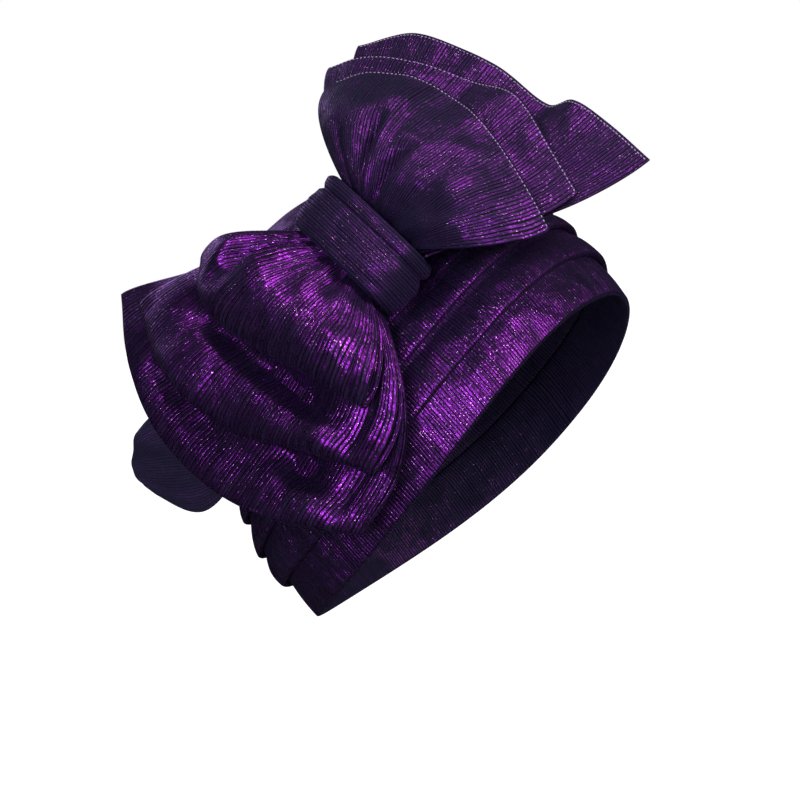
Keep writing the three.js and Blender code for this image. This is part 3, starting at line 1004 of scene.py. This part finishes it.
def floor():
    deselect()
    bpy.ops.mesh.primitive_plane_add(size=40, location=(0, 0, -0.75))
    piece = bpy.context.object
    piece.name = "floor"
    piece.data.materials.append(plain("floor_paint", (0.96, 0.96, 0.96), 0.9, glow=0.4))
    piece.visible_glossy = False
    piece.visible_diffuse = False


def stood(name, data, place, right, up, back):
    """Puts a lamp or the camera at its place, looking away from its back."""
    thing = bpy.data.objects.new(name, data)
    bpy.context.collection.objects.link(thing)
    turn = Matrix(np.stack([right, up, back], 1).tolist()).to_4x4()
    thing.matrix_world = Matrix.Translation(place.tolist()) @ turn
    return thing


def soft_light(name, off, aim, size, watts, colour=(1, 1, 1)):
    """A square lamp that stands off what it is aimed at."""
    lamp = bpy.data.lights.new(name, "AREA")
    lamp.shape = "RECTANGLE"
    lamp.size, lamp.size_y = size, size
    lamp.energy = watts
    lamp.color = colour
    back = np.array(off, float)
    back /= np.linalg.norm(back)
    right = np.cross((0, 0, 1), back)
    right /= np.linalg.norm(right)
    stood(name, lamp, aim + off, right, np.cross(back, right), back)


def studio():
    world = bpy.data.worlds.new("studio")
    bpy.context.scene.world = world
    world.use_nodes = True
    sky = world.node_tree.nodes["Background"]
    sky.inputs["Color"].default_value = (1, 1, 1, 1)
    sky.inputs["Strength"].default_value = 1.0
    world.cycles_visibility.glossy = False
    bpy.context.scene.view_settings.view_transform = "Standard"
    middle = np.array((-0.03, -0.02, 0.07))
    soft_light("above", (-0.34, -0.5, 1.32), middle, 0.35, 6.5)
    soft_light("front", (-0.2, -1.35, 0.4), middle, 0.35, 9.5)
    soft_light("side", (-1.3, -0.55, 0.25), middle, 0.3, 8, (0.85, 0.8, 1))
    soft_light("back", (0.6, 1.0, 0.7), middle, 0.5, 2, (0.8, 0.8, 1))


def camera():
    right, up = np.array(camera_right), np.array(camera_up)
    right /= np.linalg.norm(right)
    up -= right * (up @ right)
    up /= np.linalg.norm(up)
    back = np.cross(right, up)
    lens = bpy.data.cameras.new("camera")
    lens.lens, lens.sensor_width = camera_lens, 36
    lens.clip_start, lens.clip_end = 0.05, 60
    place = (np.array(camera_aim) + back * camera_away) * MM
    bpy.context.scene.camera = stood("camera", lens, place, right, up, back)


# Together


def dress_cap():
    # Painted light: the cap's jersey has its metal scaled up as if in the light.
    cloth = ribbed_jersey("cap_jersey_painted_light", 1.35, indigo, 1.27)
    for index, height in enumerate(ring_cloth_heights):
        ring = ring_piece(index, cloth)
    crown = crown_piece(cloth)


def dress_knot():
    # Painted shade: the knot's jersey has its metal scaled down as if in shade.
    knot = knot_piece(ribbed_jersey("knot_jersey_painted_shade", 1.4, indigo, 0.56))


def dress_tail():
    # Painted shade: the tail's jersey is darker, with almost no metal and little darkening between ribs, as
    # if it lay in shade.
    tail = tail_piece(ribbed_jersey("tail_jersey_painted_shade", 1.2, tail_shade_indigo, 0.06, groove_shade=0.7))


def dress_wings():
    # Painted light and shade: the upper wing's jersey has its metal scaled down as if in shade, the lower
    # wing's scaled up as if in the light.
    shaded_upper_cloth = ribbed_jersey("upper_wing_jersey_painted_shade", 1.5, indigo, 0.56)
    lit_lower_cloth = ribbed_jersey("lower_wing_jersey_painted_light", 1.75, indigo, 1.5)
    hem_thread = plain("hem_thread", hem_colour, 0.4, 0.5)
    for k, (name, layer) in enumerate(layers.items()):
        seed = 100 + 7 * k
        mean_reach = edge_at(name, "reach", np.linspace(-1, 1, 21)).mean() * wing_reach
        if layer.wing > 0:
            piece = flap_piece(name, shaded_upper_cloth, seed)
            stitches = [stitch_line(name + "_stitches", name, hem_thread, seed)]
            held, plies, shaped = "gathered", 1, 0.75
        else:
            piece = loop_piece(name, lit_lower_cloth, seed)
            stitches = []
            held, plies, shaped = "folded", 2, 0.78
        wide, long = 2 * layer.half_width * MM, plies * mean_reach * MM
        area = shaped * wide * long


dress_cap()
dress_knot()
dress_tail()
dress_wings()
floor()
studio()
camera()
